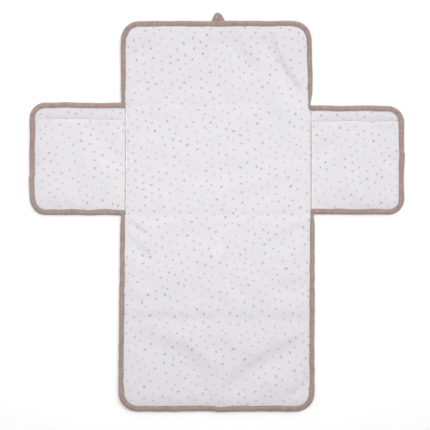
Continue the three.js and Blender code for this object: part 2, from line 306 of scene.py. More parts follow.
def printClothMaterial():
    look = printCloth
    material, tree, shader = startMaterial("printedCotton", 0.92, 0.12)
    place = clothMap(tree)

    # the dabs stand on a jittered triangular lattice that drifts, so that no rows show
    turned = addNode(tree, "ShaderNodeMapping",
                     {"Vector": place, "Rotation": (0.0, 0.0, look["latticeTurn"])}).outputs["Vector"]
    wander = noise(tree, turned, look["driftScale"], 1.0, output="Color")
    centred = vectorMaths(tree, "SUBTRACT", wander, (0.5, 0.5, 0.5))
    drifted = splitXYZ(tree, vectorMaths(tree, "MULTIPLY_ADD", centred, (4.0 * look["drift"],) * 3, turned))
    rowHeight = look["dabSpacing"] * math.sqrt(3.0) / 2.0
    row = maths(tree, "DIVIDE", drifted["Y"], rowHeight)
    column = maths(tree, "DIVIDE", drifted["X"], look["dabSpacing"])
    lattice = joinXY(tree, maths(tree, "MULTIPLY_ADD", row, -0.5, column), row)
    cells = addNode(tree, "ShaderNodeTexVoronoi",
                    {"Vector": lattice, "Scale": 1.0, "Randomness": look["dabJitter"]},
                    voronoi_dimensions="2D", feature="F1").outputs
    offset = splitXYZ(tree, vectorMaths(tree, "SUBTRACT", lattice, cells["Position"]))
    across = maths(tree, "MULTIPLY_ADD", offset["Y"], 0.5, offset["X"])
    across = maths(tree, "MULTIPLY", across, look["dabSpacing"])
    along = maths(tree, "MULTIPLY", offset["Y"], rowHeight)

    # each dab has its own turn, size, depth and tint
    chance = addNode(tree, "ShaderNodeSeparateColor", {0: cells["Color"]}).outputs
    turn = maths(tree, "MULTIPLY", chance[0], 2.0 * math.pi)
    spun = addNode(tree, "ShaderNodeVectorRotate", {"Vector": joinXY(tree, across, along), "Angle": turn},
                   rotation_type="Z_AXIS").outputs[0]
    size = ramp(tree, chance[1], 0.0, 1.0, *look["dabSizes"])
    shaped = vectorMaths(tree, "MULTIPLY", spun, (1.0 / look["dabWidth"], 1.0 / look["dabLength"], 1.0))
    frayed = noise(tree, place, look["frayScale"], 2.0)
    ragged = maths(tree, "MULTIPLY_ADD", frayed, 0.9, vectorMaths(tree, "LENGTH", shaped))
    dab = ramp(tree, maths(tree, "DIVIDE", ragged, size), *look["dabEdge"])
    dab = maths(tree, "MULTIPLY", dab, ramp(tree, chance[2], 0.0, 1.0, *look["dabDepths"]))
    tintPick = maths(tree, "FRACT", maths(tree, "MULTIPLY", chance[1], 7.31))
    tint = look["taupe"]
    for low, high, other in ((0.30, 0.36, "olive"), (0.66, 0.72, "grey"), (0.92, 0.95, "rose")):
        tint = mixColour(tree, ramp(tree, tintPick, low, high), tint, look[other])

    mottle = noise(tree, place, look["mottleScale"], 3.0)
    ground = mixColour(tree, ramp(tree, mottle, 0.3, 0.7), look["ground"], look["groundCool"])
    weave = weaveHeight(tree, place, look["threadsPerCm"])
    # painted highlight: the cloth is painted lighter over the button, where the bump it pushes up catches the
    # light
    spot = vectorMaths(tree, "DISTANCE", place, look["buttonHighlightPlace"] + (0.0,))
    paintedHighlight = ramp(tree, spot, look["buttonHighlightReach"], 0.3 * look["buttonHighlightReach"], 1.0, look["buttonHighlightLift"])
    shade = maths(tree, "MULTIPLY", ramp(tree, weave, 0.0, 1.0, 0.975, 1.0), paintedHighlight)
    shadeColour = addNode(tree, "ShaderNodeCombineColor", {0: shade, 1: shade, 2: shade}).outputs[0]
    cloth = mixColour(tree, 1.0, mixColour(tree, dab, ground, tint), shadeColour, "MULTIPLY")
    crumple = noise(tree, place, look["crumpleScale"], 4.0)
    height = maths(tree, "MULTIPLY_ADD", crumple, 0.6, maths(tree, "MULTIPLY", weave, 0.12))
    surface(tree, shader, cloth, height, 0.35, 0.0006)
    return material


tape = {
    "colour": (0.286, 0.214, 0.187, 1.0),
    "colourLight": (0.395, 0.307, 0.274, 1.0),
    "threadsPerCm": 14.0,
    "blotchScale": 0.9,
    "ribStretch": (4.2, 0.7, 1.0),
}


def tapeMaterial():
    look = tape
    material, tree, shader = startMaterial("boundTape", 0.9, 0.2)
    place = clothMap(tree)
    blotch = noise(tree, place, look["blotchScale"], 4.0)
    # ribs run across the tape, uneven in depth
    ribs = noise(tree, vectorMaths(tree, "MULTIPLY", place, look["ribStretch"]), 1.0, 2.0)
    weave = weaveHeight(tree, place, look["threadsPerCm"])
    shade = maths(tree, "MULTIPLY_ADD", ramp(tree, ribs, 0.3, 0.7), 0.5,
                  ramp(tree, blotch, 0.25, 0.75, 0.0, 0.4))
    shade = maths(tree, "MULTIPLY_ADD", weave, 0.15, shade)
    height = maths(tree, "MULTIPLY_ADD", ribs, 1.6, maths(tree, "MULTIPLY", weave, 0.4))
    surface(tree, shader, mixColour(tree, shade, look["colour"], look["colourLight"]), height, 0.45, 0.0006)
    return material


backing = {"colour": (0.62, 0.585, 0.555, 1.0), "colourDark": (0.55, 0.515, 0.485, 1.0), "threadsPerCm": 18.0,
           "slubScale": 1.1}


def backingMaterial():
    look = backing
    material, tree, shader = startMaterial("plainBacking", 0.9, 0.1)
    place = clothMap(tree)
    slub = noise(tree, place, look["slubScale"], 5.0)
    weave = weaveHeight(tree, place, look["threadsPerCm"])
    shade = maths(tree, "MULTIPLY_ADD", weave, 0.25, ramp(tree, slub, 0.3, 0.75, 0.0, 0.6))
    surface(tree, shader, mixColour(tree, shade, look["colourDark"], look["colour"]),
            maths(tree, "ADD", weave, slub), 0.4, 0.0004)
    return material


seamCloth = {"colour": (0.74, 0.665, 0.665, 1.0), "colourLight": (0.86, 0.80, 0.795, 1.0), "blotchScale": 1.7}


def seamClothMaterial():
    look = seamCloth
    material, tree, shader = startMaterial("seamCotton", 0.9, 0.1)
    blotch = noise(tree, clothMap(tree), look["blotchScale"], 4.0)
    surface(tree, shader, mixColour(tree, ramp(tree, blotch, 0.3, 0.7), look["colour"], look["colourLight"]),
            blotch, 0.4, 0.0005)
    return material


threads = {
    "seamThread": ((0.40, 0.25, 0.22, 1.0), (0.58, 0.43, 0.40, 1.0)),
    "sewingThread": ((0.25, 0.18, 0.155, 1.0), (0.42, 0.325, 0.29, 1.0)),
    "paleThread": ((0.56, 0.53, 0.53, 1.0), (0.72, 0.69, 0.69, 1.0)),
}


def threadMaterial(name):
    material, tree, shader = startMaterial(name, 0.7, 0.3)
    twist = noise(tree, objectPlace(tree), 900.0, 2.0, "3D")
    surface(tree, shader, mixColour(tree, twist, *threads[name]), twist, 0.4, 0.0002)
    return material


button = {"colour": (0.27, 0.205, 0.175, 1.0), "colourLight": (0.40, 0.325, 0.285, 1.0),
          "swirlScale": 260.0, "fineScale": 1800.0, "roughness": (0.28, 0.48), "coat": 0.25}


def buttonMaterial():
    look = button
    material, tree, shader = startMaterial("mouldedButton", 0.34, 0.0, 0.5)
    shader.inputs["Coat Weight"].default_value = look["coat"]
    place = objectPlace(tree)
    swirl = noise(tree, place, look["swirlScale"], 4.0, "3D", 1.2)
    fine = noise(tree, place, look["fineScale"], 3.0, "3D")
    tree.links.new(ramp(tree, fine, 0.3, 0.7, *look["roughness"]), shader.inputs["Roughness"])
    surface(tree, shader, mixColour(tree, ramp(tree, swirl, 0.3, 0.7), look["colour"], look["colourLight"]),
            fine, 0.15, 0.0001)
    return material


printedCotton = printClothMaterial()
boundTape = tapeMaterial()
plainBacking = backingMaterial()
seamCotton = seamClothMaterial()
seamThread, sewingThread, paleThread = (threadMaterial(name) for name in threads)
mouldedButton = buttonMaterial()
print("materials made")


# mesh makers

def buildPiece(name, points, faces, loopMap, normals, material, hardFaces=0):
    # loopMap holds the cloth coordinates of each face corner; the last hardFaces faces keep their own normals
    mesh = bpy.data.meshes.new(name)
    mesh.from_pydata((points / perMetre).tolist(), [], faces)
    mesh.uv_layers.new(name="clothMap").data.foreach_set("uv", np.asarray(loopMap, np.float32).ravel())
    mesh.materials.append(material)
    mesh.polygons.foreach_set("use_smooth", [True] * (len(faces) - hardFaces) + [False] * hardFaces)
    corners = np.zeros(len(mesh.loops), np.int32)
    mesh.loops.foreach_get("vertex_index", corners)
    cornerNormals = normals[corners]
    flat = sum(len(face) for face in faces[len(faces) - hardFaces:])
    cornerNormals[len(corners) - flat:] = 0.0
    mesh.normals_split_custom_set(cornerNormals.tolist())
    return addObject(name, mesh)


def gridQuads(number):
    return np.stack([number[:-1, :-1], number[:-1, 1:], number[1:, 1:], number[1:, :-1]], axis=2)


def clothBody(name, top, bottom, keep, mapShift, material):
    # a closed body from two layers of one grid; keep marks the grid's faces that belong to it
    rows, columns = keep.shape
    used = np.zeros(top.shape[:2], bool)
    for i, j in ((0, 0), (0, 1), (1, 0), (1, 1)):
        used[i:rows + i, j:columns + j] |= keep
    layer = int(used.sum())
    number = np.full(top.shape[:2], -1)
    number[used] = np.arange(layer)
    quads = gridQuads(number)[keep]
    faces = quads.tolist() + (quads[:, ::-1] + layer).tolist()
    # walls stand where the neighbouring face isn't kept
    padded = np.pad(keep, 1)
    for shift, a, b in (((0, 1), (0, 0), (0, 1)), ((2, 1), (1, 1), (1, 0)),
                        ((1, 0), (1, 0), (0, 0)), ((1, 2), (0, 1), (1, 1))):
        neighbour = padded[shift[0]:shift[0] + rows, shift[1]:shift[1] + columns]
        i, j = np.nonzero(keep & ~neighbour)
        first = number[i + a[0], j + a[1]]
        second = number[i + b[0], j + b[1]]
        faces += np.stack([second, first, first + layer, second + layer], axis=1).tolist()
    points = np.concatenate([top[used], bottom[used]])
    place = (points[:, :2] + mapShift) / 10.0
    flat = [corner for face in faces for corner in face]
    normals = np.concatenate([gridNormals(top)[used], -gridNormals(bottom)[used]])
    return buildPiece(name, points, faces, place[flat], normals, material)


def sweptBody(name, rings, normals, lengths, girth, material):
    # a closed body from rings of points, with a flat cap at each end
    count, around = rings.shape[:2]
    i, j = np.meshgrid(np.arange(count - 1), np.arange(around), indexing="ij")
    here, beside = i * around + j, i * around + (j + 1) % around
    quads = np.stack([here, beside, beside + around, here + around], axis=2)
    faces = quads.reshape(-1, 4).tolist()
    u = np.stack([lengths[i], lengths[i], lengths[i + 1], lengths[i + 1]], axis=2)
    v = np.stack([girth[j], girth[j + 1], girth[j + 1], girth[j]], axis=2)
    place = np.stack([u, v], axis=3).reshape(-1, 2) / 10.0
    faces += [list(range(around))[::-1], list(range((count - 1) * around, count * around))]
    place = np.concatenate([place, np.tile(place[:1], (2 * around, 1))])
    return buildPiece(name, rings.reshape(-1, 3), faces, place, normals.reshape(-1, 3), material, hardFaces=2)


def ringNormals(rings):
    around = np.roll(rings, -1, axis=1) - np.roll(rings, 1, axis=1)
    return unit(np.cross(around, np.gradient(rings, axis=0)))


def outwardRings(rings, girth):
    # rings, their normals and girth, turned round where the normals point inwards
    normals = ringNormals(rings)
    if np.einsum("ijk,ijk->", rings - rings.mean(axis=1, keepdims=True), normals) < 0.0:
        return rings[:, ::-1], -normals[:, ::-1], girth[-1] - girth[::-1]
    return rings, normals, girth


# the outline of the mat: each side wanders a little from the pattern piece

matShape = {
    "halfWidth": 170.0,
    "cornerRadius": 33.0,
    "stations": (matBottom, endFoldY, midFoldY, flapFoldY, 226.0, 300.0, matTop),
    "leftSide": (-172.6, -171.3, -168.7, -168.1, -168.0, -168.0, -168.0),
    "rightSide": (171.7, 171.2, 172.0, 167.7, 168.0, 166.6, 166.6),
    "leftSeam": -160.2,
    "rightSeam": 165.4,
    "clothInset": 2.5,
    "gridStep": 2.8,
    "reach": 8.8,
    "seamBlend": 4.0,
    "lipHeight": 5.15,
    "seamHeight": 4.0,
    "shoulder": 9.0,
    "crown": 0.25,
    "crownRun": 55.0,
    "waves": 0.16,
    "fineWaves": 0.05,
    "waveSeed": 5,
    "buttonBump": 0.5,
    "bumpReach": 7.5,              # full out to here, and faded over the next
    "bumpFade": 9.0,
}

wingShapes = {
    "left": {"sign": -1.0, "seam": matShape["leftSeam"], "outer": 328.0, "bottom": -6.7, "top": 190.7,
             "tilt": -0.006, "mouth": 160.9, "mapShift": (37.0, -61.0), "pocketShift": (-91.0, 23.0),
             "seed": 11, "joinY": 62.0, "overlap": (-0.3, -0.3), "pinchAbove": 1.2, "pinchBelow": 1.0},
    "right": {"sign": 1.0, "seam": matShape["rightSeam"], "outer": 328.3, "bottom": -4.7, "top": 186.0,
              "tilt": -0.006, "mouth": 158.2, "mapShift": (-53.0, 47.0), "pocketShift": (64.0, -38.0),
              "seed": 23, "joinY": 104.0, "overlap": (-1.6, 0.5), "pinchAbove": 3.9, "pinchBelow": 2.4},
}
sides = {"left": -1.0, "right": 1.0}


def wingRange(y, side):
    # 1 beside a wing, 0 above and below it
    wing = wingShapes[side]
    blend = matShape["seamBlend"]
    return smoothStep((y - wing["bottom"]) / blend) * smoothStep((wing["top"] - y) / blend)


def pinch(y, side):
    # the binding narrows where it runs in under a wing's binding
    wing = wingShapes[side]
    above = wing["pinchAbove"] * (1.0 - smoothStep((y - wing["top"]) / 27.0)) * (y > wing["top"] - 12.0)
    below = wing["pinchBelow"] * (1.0 - smoothStep((wing["bottom"] - y) / 20.0)) * (y < wing["bottom"] + 12.0)
    return above + below


def matEdge(y, side):
    return np.interp(y, matShape["stations"], matShape[side + "Side"])


def matX(nominal, y):
    left = nominal / -matShape["halfWidth"] * matEdge(y, "left")
    right = nominal / matShape["halfWidth"] * matEdge(y, "right")
    return np.where(nominal < 0.0, left, right)


def matInset(nominalX, y):
    return roundedInset(nominalX, y, -matShape["halfWidth"], matShape["halfWidth"], matBottom, matTop,
                        matShape["cornerRadius"])


def matGrid():
    shape = matShape
    cuts = (matBottom + shape["clothInset"], (midFoldY + endFoldY) / 2.0, (flapFoldY + midFoldY) / 2.0,
            matTop - shape["clothInset"])
    rows = [cuts[0]]
    for low, high in zip(cuts[:-1], cuts[1:]):
        steps = max(2, round((high - low) / shape["gridStep"]))
        rows += list(np.linspace(low, high, steps + 1)[1:])
    half = shape["halfWidth"] - shape["clothInset"]
    columns = np.linspace(-half, half, round(2.0 * half / shape["gridStep"]) + 1)
    nominalX, y = np.meshgrid(columns, np.array(rows))
    inset = matInset(nominalX, y)
    # corner points outside the cloth are drawn back to its edge
    centreX = np.sign(nominalX) * (shape["halfWidth"] - shape["cornerRadius"])
    centreY = np.where(y > 0.0, matTop - shape["cornerRadius"], matBottom + shape["cornerRadius"])
    spread = np.hypot(nominalX - centreX, y - centreY)
    shrink = np.where(inset < shape["clothInset"],
                      (shape["cornerRadius"] - shape["clothInset"]) / np.maximum(spread, 1e-6), 1.0)
    shrink = np.where((np.abs(nominalX) > np.abs(centreX)) & (np.abs(y) > np.abs(centreY)), shrink, 1.0)
    fixedX = centreX + (nominalX - centreX) * shrink
    fixedY = centreY + (y - centreY) * shrink
    centreInset = (inset[:-1, :-1] + inset[1:, 1:] + inset[:-1, 1:] + inset[1:, :-1]) / 4.0
    keep = centreInset > shape["clothInset"] - 0.4 * shape["gridStep"]
    x = matX(fixedX, fixedY)
    # beside a wing the cloth stops at the seam
    for side, sign in sides.items():
        share = wingRange(fixedY, side)
        clothEdge = matX(sign * half, fixedY)
        seam = matShape[side + "Seam"] - sign * 0.15
        drawnIn = clothEdge - sign * pinch(fixedY, side) * (1.0 - share)
        factor = (drawnIn + share * (seam - drawnIn)) / clothEdge
        x = np.where(sign * fixedX > 0.0, x * factor, x)
    return x, fixedY, keep, cuts, np.array(rows)


def borderDistance(x, y):
    # distance from the inner edge of the binding, or from the seam beside a wing
    nominal = np.where(x < 0.0, x / matEdge(y, "left") * -matShape["halfWidth"],
                       x / matEdge(y, "right") * matShape["halfWidth"])
    reach = np.full(np.shape(x), matShape["reach"])
    for side, sign in sides.items():
        seamInset = sign * (matEdge(y, side) - matShape[side + "Seam"])
        share = wingRange(y, side) * (sign * x > 0.0) * smoothStep((np.abs(x) - 60.0) / 60.0)
        reach = reach + share * (seamInset - matShape["reach"])
    return matInset(nominal, y) - reach


folds = {
    "mid": {"y": midFoldY, "run": 15.0, "rise": 16.0, "depth": 0.6},
    "end": {"y": endFoldY, "run": 20.0, "rise": 42.0, "depth": 1.1},
}


def foldGroove(x, y):
    # each crease falls quicker and quicker from above, then turns up sharply and rises away slowly
    depth = np.zeros(np.shape(x))
    for fold in folds.values():
        line = fold["y"] + 0.8 * np.sin(x / 61.0 + fold["y"])
        slow = np.clip(1.0 - (y - line) / fold["run"], 0.0, 1.0) ** 2
        steep = smoothStep((y - line + fold["rise"]) / fold["rise"])
        depth = depth + fold["depth"] * np.where(y > line, slow, steep)
    faint = 0.28 * np.exp(-((y - flapFoldY + 2.0) / 4.0) ** 2)
    return depth + faint


dents = [
    # each runs along a line of places: the cloth steps up on its lit side, and rises away slowly on the other
    {"line": ((93.0, 316.0), (97.0, 292.0), (112.0, 256.0), (134.0, 224.0), (158.0, 197.0)),
     "step": 10.0, "fade": 20.0, "depth": 3.5},
    {"line": ((16.0, 318.0), (40.0, 276.0), (68.0, 240.0)), "step": 24.0, "fade": 30.0, "depth": 2.5},
    {"line": ((-156.0, 268.0), (-138.0, 282.0), (-126.0, 300.0)), "step": 11.0, "fade": 18.0, "depth": 1.6},
    {"line": ((-160.0, 205.0), (-142.0, 222.0), (-124.0, 232.0)), "step": 6.0, "fade": 9.0, "depth": 1.2},
    {"line": ((-158.0, -12.0), (-142.0, -26.0), (-122.0, -42.0)), "step": 6.0, "fade": 10.0, "depth": 1.6},
    {"line": ((-156.0, -44.0), (-138.0, -62.0), (-112.0, -84.0)), "step": 9.0, "fade": 16.0, "depth": 1.5},
    {"line": ((158.0, -22.0), (132.0, -34.0), (98.0, -56.0)), "step": 12.0, "fade": 20.0, "depth": 1.3},
    {"line": ((160.0, -120.0), (138.0, -126.0), (96.0, -140.0)), "step": 12.0, "fade": 22.0, "depth": 0.7},
    {"line": ((-160.0, -150.0), (-138.0, -158.0), (-100.0, -150.0)),
     "step": 12.0, "fade": 16.0, "depth": 0.6},
    {"line": ((-160.0, -214.0), (-124.0, -226.0), (-82.0, -242.0), (-44.0, -268.0), (-20.0, -300.0)),
     "step": 32.0, "fade": 44.0, "depth": 1.9},
    {"line": ((162.0, -220.0), (118.0, -246.0), (72.0, -270.0), (38.0, -296.0), (20.0, -316.0)),
     "step": 24.0, "fade": 26.0, "depth": 2.3},
    {"line": ((160.0, -288.0), (142.0, -312.0), (118.0, -326.0)), "step": 9.0, "fade": 14.0, "depth": 1.2},
    {"line": ((-30.0, -300.0), (-14.0, -318.0), (-8.0, -332.0)), "step": 6.0, "fade": 9.0, "depth": 0.7},
]


def alongLine(x, y, line):
    # distance from a line of places, more than 0 on its +Y side, and the share of the way along it
    line = np.array(line)
    if line[0][0] > line[-1][0]:
        line = line[::-1]
    runs = np.diff(line, axis=0)
    lengths = np.linalg.norm(runs, axis=1)
    before = np.concatenate([[0.0], np.cumsum(lengths)])
    nearest = np.full(np.shape(x), np.inf)
    away, share = np.zeros(np.shape(x)), np.zeros(np.shape(x))
    for i, (start, run, length) in enumerate(zip(line[:-1], runs, lengths)):
        t = ((x - start[0]) * run[0] + (y - start[1]) * run[1]) / length ** 2
        t = np.clip(t, -9.0 if i == 0 else 0.0, 9.0 if i == len(runs) - 1 else 1.0)
        side = ((y - start[1]) * run[0] - (x - start[0]) * run[1]) / length
        gap = np.hypot(x - start[0] - run[0] * t, y - start[1] - run[1] * t)
        closer = gap < nearest
        nearest = np.where(closer, gap, nearest)
        away = np.where(closer, np.copysign(gap, side), away)
        share = np.where(closer, (before[i] + t * length) / before[-1], share)
    return away, share


def dentDepth(x, y):
    depth = np.zeros(np.shape(x))
    for dent in dents:
        away, share = alongLine(x, y, dent["line"])
        ends = smoothStep((share + 0.12) / 0.35) * smoothStep((1.12 - share) / 0.35)
        lit = 1.0 - smoothStep(away / dent["step"])
        shaded = np.exp(-(np.minimum(away, 0.0) / dent["fade"]) ** 2)
        depth = depth + dent["depth"] * ends * lit * shaded
    return depth


pucker = {"height": 0.16, "run": 11.0, "wave": 3.3, "seed": 31}


def puckers(x, y, distance):
    # short ridges square to the stitched edge, fading inwards
    seed = pucker["seed"]
    fade = np.exp(-(np.maximum(distance, 0.0) / pucker["run"]) ** 2) * smoothStep(distance / 3.0 + 0.3)
    alongEdge = np.where(np.abs(x) > 150.0, y, x)
    wave = np.sin(alongEdge / pucker["wave"] + 2.0 * ripples(x, y, seed, 60.0, 140.0))
    return pucker["height"] * fade * wave * (0.4 + 0.6 * smoothStep(ripples(x, y, seed + 1, 50.0, 120.0)))


def matHeights(x, y):
    shape = matShape
    distance = borderDistance(x, y)
    beside = sum(wingRange(y, side) * smoothStep((sign * x - 120.0) / 30.0)
                 for side, sign in sides.items())
    lip = shape["lipHeight"] + beside * (shape["seamHeight"] - shape["lipHeight"])
    rise = 1.0 - np.exp(-np.maximum(distance, 0.0) / shape["shoulder"])
    height = lip + (coverTop - 0.15 - lip) * rise
    height += shape["crown"] * (1.0 - np.exp(-np.maximum(distance, 0.0) / shape["crownRun"]))
    seed = shape["waveSeed"]
    height += (shape["waves"] * rise * ripples(x, y, seed, 45.0, 130.0, 9)
               + shape["fineWaves"] * rise * ripples(x, y, seed + 1, 16.0, 34.0, 9))
    height -= foldGroove(x, y) * (0.35 + 0.65 * rise)
    height -= dentDepth(x, y) * rise
    height += shape["buttonBump"] * buttonDimple(x, y)
    return height + puckers(x, y, distance)


def buttonDimple(x, y):
    centre = (buttonLow + buttonHigh) / 2.0
    away = np.hypot(x - centre[0], y - centre[1])
    return smoothStep(1.0 - (away - matShape["bumpReach"]) / matShape["bumpFade"])


settling = {
    "spacing": 2,                  # in steps of the piece's own grid
    "frames": 18,
    "stiffness": 15.0,
    "bending": 6.0,
    "unevenness": 0.25,
    "damping": 2.0,
    "mass": 0.1,
}


def settleCloth(points, keep, hold, gathered, make, seed):
    # lays the cloth, a little too large for its seams, on its wadding; returns how far it moves up or down
    rows, columns = points.shape[:2]
    pickRow, pickColumn = (np.unique(np.append(np.arange(0, count, settling["spacing"]), count - 1))
                           for count in (rows, columns))
    picked = np.ix_(pickRow, pickColumn)
    coarse = points[picked] / perMetre
    uneven = ripples(coarse[:, :, 0] * perMetre, coarse[:, :, 1] * perMetre, seed, 30.0, 110.0, 12)
    coarse[:, :, 2] += settling["unevenness"] / perMetre * uneven * (hold[picked] < 1.0)
    index = np.arange(coarse.shape[0] * coarse.shape[1]).reshape(coarse.shape[:2])
    kept = keep[np.ix_(np.minimum(pickRow[:-1], rows - 2), np.minimum(pickColumn[:-1], columns - 2))]
    quads = gridQuads(index)[kept]
    mesh = bpy.data.meshes.new("settling")
    mesh.from_pydata(coarse.reshape(-1, 3).tolist(), [], quads.tolist())
    sheet = addObject("settling", mesh)
    used = np.zeros(index.size, bool)
    used[quads.ravel()] = True
    for name, weights in (("hold", np.where(used, hold[picked].ravel(), 1.0)),
                          ("gathered", gathered[picked].ravel())):
        group = sheet.vertex_groups.new(name=name)
        for i, weight in enumerate(weights):
            group.add([i], float(weight), "REPLACE")
    modifier = sheet.modifiers.new("settling", "CLOTH")
    cloth = modifier.settings
    cloth.quality = 6
    cloth.mass = settling["mass"]
    cloth.air_damping = settling["damping"]
    cloth.tension_stiffness = cloth.compression_stiffness = settling["stiffness"]
    cloth.shear_stiffness = settling["stiffness"] / 3.0
    cloth.bending_stiffness = settling["bending"]
    cloth.vertex_group_mass = "hold"
    cloth.vertex_group_shrink = "gathered"
    cloth.shrink_min, cloth.shrink_max = (-growth for growth in make["growth"])
    cloth.effector_weights.gravity = 0.0
    modifier.collision_settings.use_collision = False
    modifier.point_cache.frame_start = 1
    modifier.point_cache.frame_end = settling["frames"]
    stage = bpy.context.scene
    firstFrame = stage.frame_current
    for frameNumber in range(1, settling["frames"] + 1):
        stage.frame_set(frameNumber)
    settled = sheet.evaluated_get(bpy.context.evaluated_depsgraph_get()).to_mesh()
    found = np.zeros(len(settled.vertices) * 3)
    settled.vertices.foreach_get("co", found)
    sheet.modifiers.remove(modifier)
    bpy.data.objects.remove(sheet)
    bpy.data.meshes.remove(mesh)
    stage.frame_set(firstFrame)
    moved = (found.reshape(coarse.shape)[:, :, 2] - coarse[:, :, 2]) * perMetre
    moved = make["cap"] * np.tanh(moved / make["cap"])
    # back to the full grid, and smoothed
    moved = np.array([np.interp(np.arange(rows), pickRow, column) for column in moved.T]).T
    moved = np.array([np.interp(np.arange(columns), pickColumn, row) for row in moved])
    for _ in range(2):
        wide = np.pad(moved, 1, mode="edge")
        moved = (wide[:-2, 1:-1] + wide[2:, 1:-1] + wide[1:-1, :-2] + wide[1:-1, 2:] + 4.0 * moved) / 8.0
    return make["share"] * moved


backingShape = {"bottom": 0.2, "thickness": 0.6, "pressed": 0.95, "dimple": 2.75}


def underside(x, y, distance, seed):
    # the backing's lower face: flat on the floor, drawn up into the binding and over the button
    shape = backingShape
    lifted = smoothStep(1.0 - distance / 6.0) * shape["pressed"]
    waves = 0.09 * (1.0 + ripples(x, y, seed, 30.0, 110.0, 9)) * smoothStep(distance / 12.0)
    return shape["bottom"] + np.maximum(lifted, np.maximum(waves, 0.0))


def gridPoints(x, y, height):
    return np.stack([x, y, height], axis=2)


def linePoints(x, y, z):
    return np.stack([x, y, z], axis=1)


matSettling = {
    "hold": 0.13,                  # how firmly the wadding keeps the cloth in place
    "foldHold": 0.7,
    "gatherReach": 20.0,
    "growth": (0.003, 0.024),
    "cap": 1.2,
    "share": 0.42,
    "highest": 8.0,
    "ceilingEase": 0.22,
    "padGap": 0.12,
    "seed": 71,
    "backingSeed": 41,
}


def makeMat():
    x, y, keep, cuts, rows = matGrid()
    make = matSettling
    distance = borderDistance(x, y)
    height = matHeights(x, y)
    nearFold = sum(np.exp(-((y - fold["y"]) / 5.0) ** 2) for fold in folds.values())
    hold = np.where(distance < 1.5, 1.0, make["hold"] + (make["foldHold"] - make["hold"]) * nearFold)
    gathered = np.exp(-np.maximum(distance, 0.0) / make["gatherReach"])
    height += settleCloth(gridPoints(x, y, height), keep, hold, gathered, make, make["seed"])
    # a soft ceiling keeps the folded layers clear of one another
    highest, ease = make["highest"], make["ceilingEase"]
    height = highest - ease * np.logaddexp(0.0, (highest - height) / ease)
    under = np.maximum(underside(x, y, distance, make["backingSeed"]),
                       backingShape["bottom"] + backingShape["dimple"] * buttonDimple(x, y))
    backingTop = under + backingShape["thickness"]
    made = []
    for i, name in enumerate(("matLower", "matMiddle", "matUpper")):
        low, high = cuts[i], cuts[i + 1]
        part = keep & ((rows[:-1] >= low - 0.01) & (rows[1:] <= high + 0.01))[:, None]
        pad = clothBody(name, gridPoints(x, y, height), gridPoints(x, y, backingTop + make["padGap"]),
                        part, (0.0, 0.0), printedCotton)
        sheet = clothBody(name + "Backing", gridPoints(x, y, backingTop), gridPoints(x, y, under),
                          part, (0.0, 0.0), plainBacking)
        made.append((name, pad, sheet, high - low))
    return made


matParts = makeMat()
print("mat made")


stitch = {"pitch": 3.3, "length": 2.5, "thickness": 0.42, "seed": 7,
          "topShare": 2.6, "topLift": 0.12, "underShare": 16.6, "underLift": 0.12}
seamStitch = {"pitch": 3.1, "length": 2.7, "thickness": 0.75}


# the binding: one profile swept along each edge

bindingShape = {
    # distance in from the edge and height, on a tape of unit reach and height; it runs round the tape once
    "profile": ((1.00, 0.80), (1.00, 0.885), (0.94, 0.925), (0.87, 0.875), (0.79, 0.935), (0.62, 0.99),
                (0.42, 0.98), (0.26, 0.90), (0.13, 0.76), (0.04, 0.58), (0.0, 0.38), (0.02, 0.20),
                (0.08, 0.08), (0.20, 0.03), (0.42, 0.015), (0.62, 0.012), (0.80, 0.02), (0.93, 0.03),
                (1.00, 0.06), (1.00, 0.14), (0.60, 0.15), (0.28, 0.18), (0.17, 0.25), (0.14, 0.38),
                (0.18, 0.52), (0.32, 0.70), (0.60, 0.80)),
    "step": 1.9,
    "matReach": 8.8,
    "endReach": 1.5,               # wider by this across the top and the bottom
    "matTuck": 7.0,                # how far the mat's binding runs in under a wing's
    "wingReach": 9.8,
    "joinStep": 1.1,
    "joinRise": 0.05,
    "joinRun": 38.0,
    "edgeWander": 0.35,
    "reachWander": 0.45,
}


def roundedRoute(corners, radius, step):
    # start, two rounded corners and end: points, unit vectors towards the inside, and lengths along
    a, b, c, d = (np.array(corner, float) for corner in corners)
    turnSign = np.sign((b - a)[0] * (c - b)[1] - (b - a)[1] * (c - b)[0])
    points, inward = [], []

    def straight(start, end):
        run = end - start
        length = np.linalg.norm(run)
        count = max(2, round(length / step))
        direction = run / length
        side = np.array((-direction[1], direction[0])) * turnSign
        for t in np.arange(count) / count:
            points.append(start + run * t)
            inward.append(side)

    def bend(corner, before, after):
        before = (corner - before) / np.linalg.norm(corner - before)
        after = (after - corner) / np.linalg.norm(after - corner)
        centre = corner - before * radius + after * radius
        count = max(6, round(radius * math.pi / 2.0 / step))
        for t in np.arange(count) / count:
            angle = t * math.pi / 2.0
            side = after * math.cos(angle) - before * math.sin(angle)
            points.append(centre - side * radius)
            inward.append(side)

    def turn(corner, other):
        return corner + (other - corner) / np.linalg.norm(other - corner) * radius

    straight(a, turn(b, a))
    bend(b, a, c)
    straight(turn(b, c), turn(c, b))
    bend(c, b, d)
    straight(turn(c, d), d)
    points.append(d)
    inward.append(inward[-1])
    points = np.array(points)
    return points, np.array(inward), lengthsAlong(points)


def tapeJoin(lengths, at):
    # past its join the tape lies over its own start, a little further out, and settles back slowly
    past = lengths - at
    return smoothStep(past / 1.5 + 0.5) * (1.0 - smoothStep(past / bindingShape["joinRun"]))


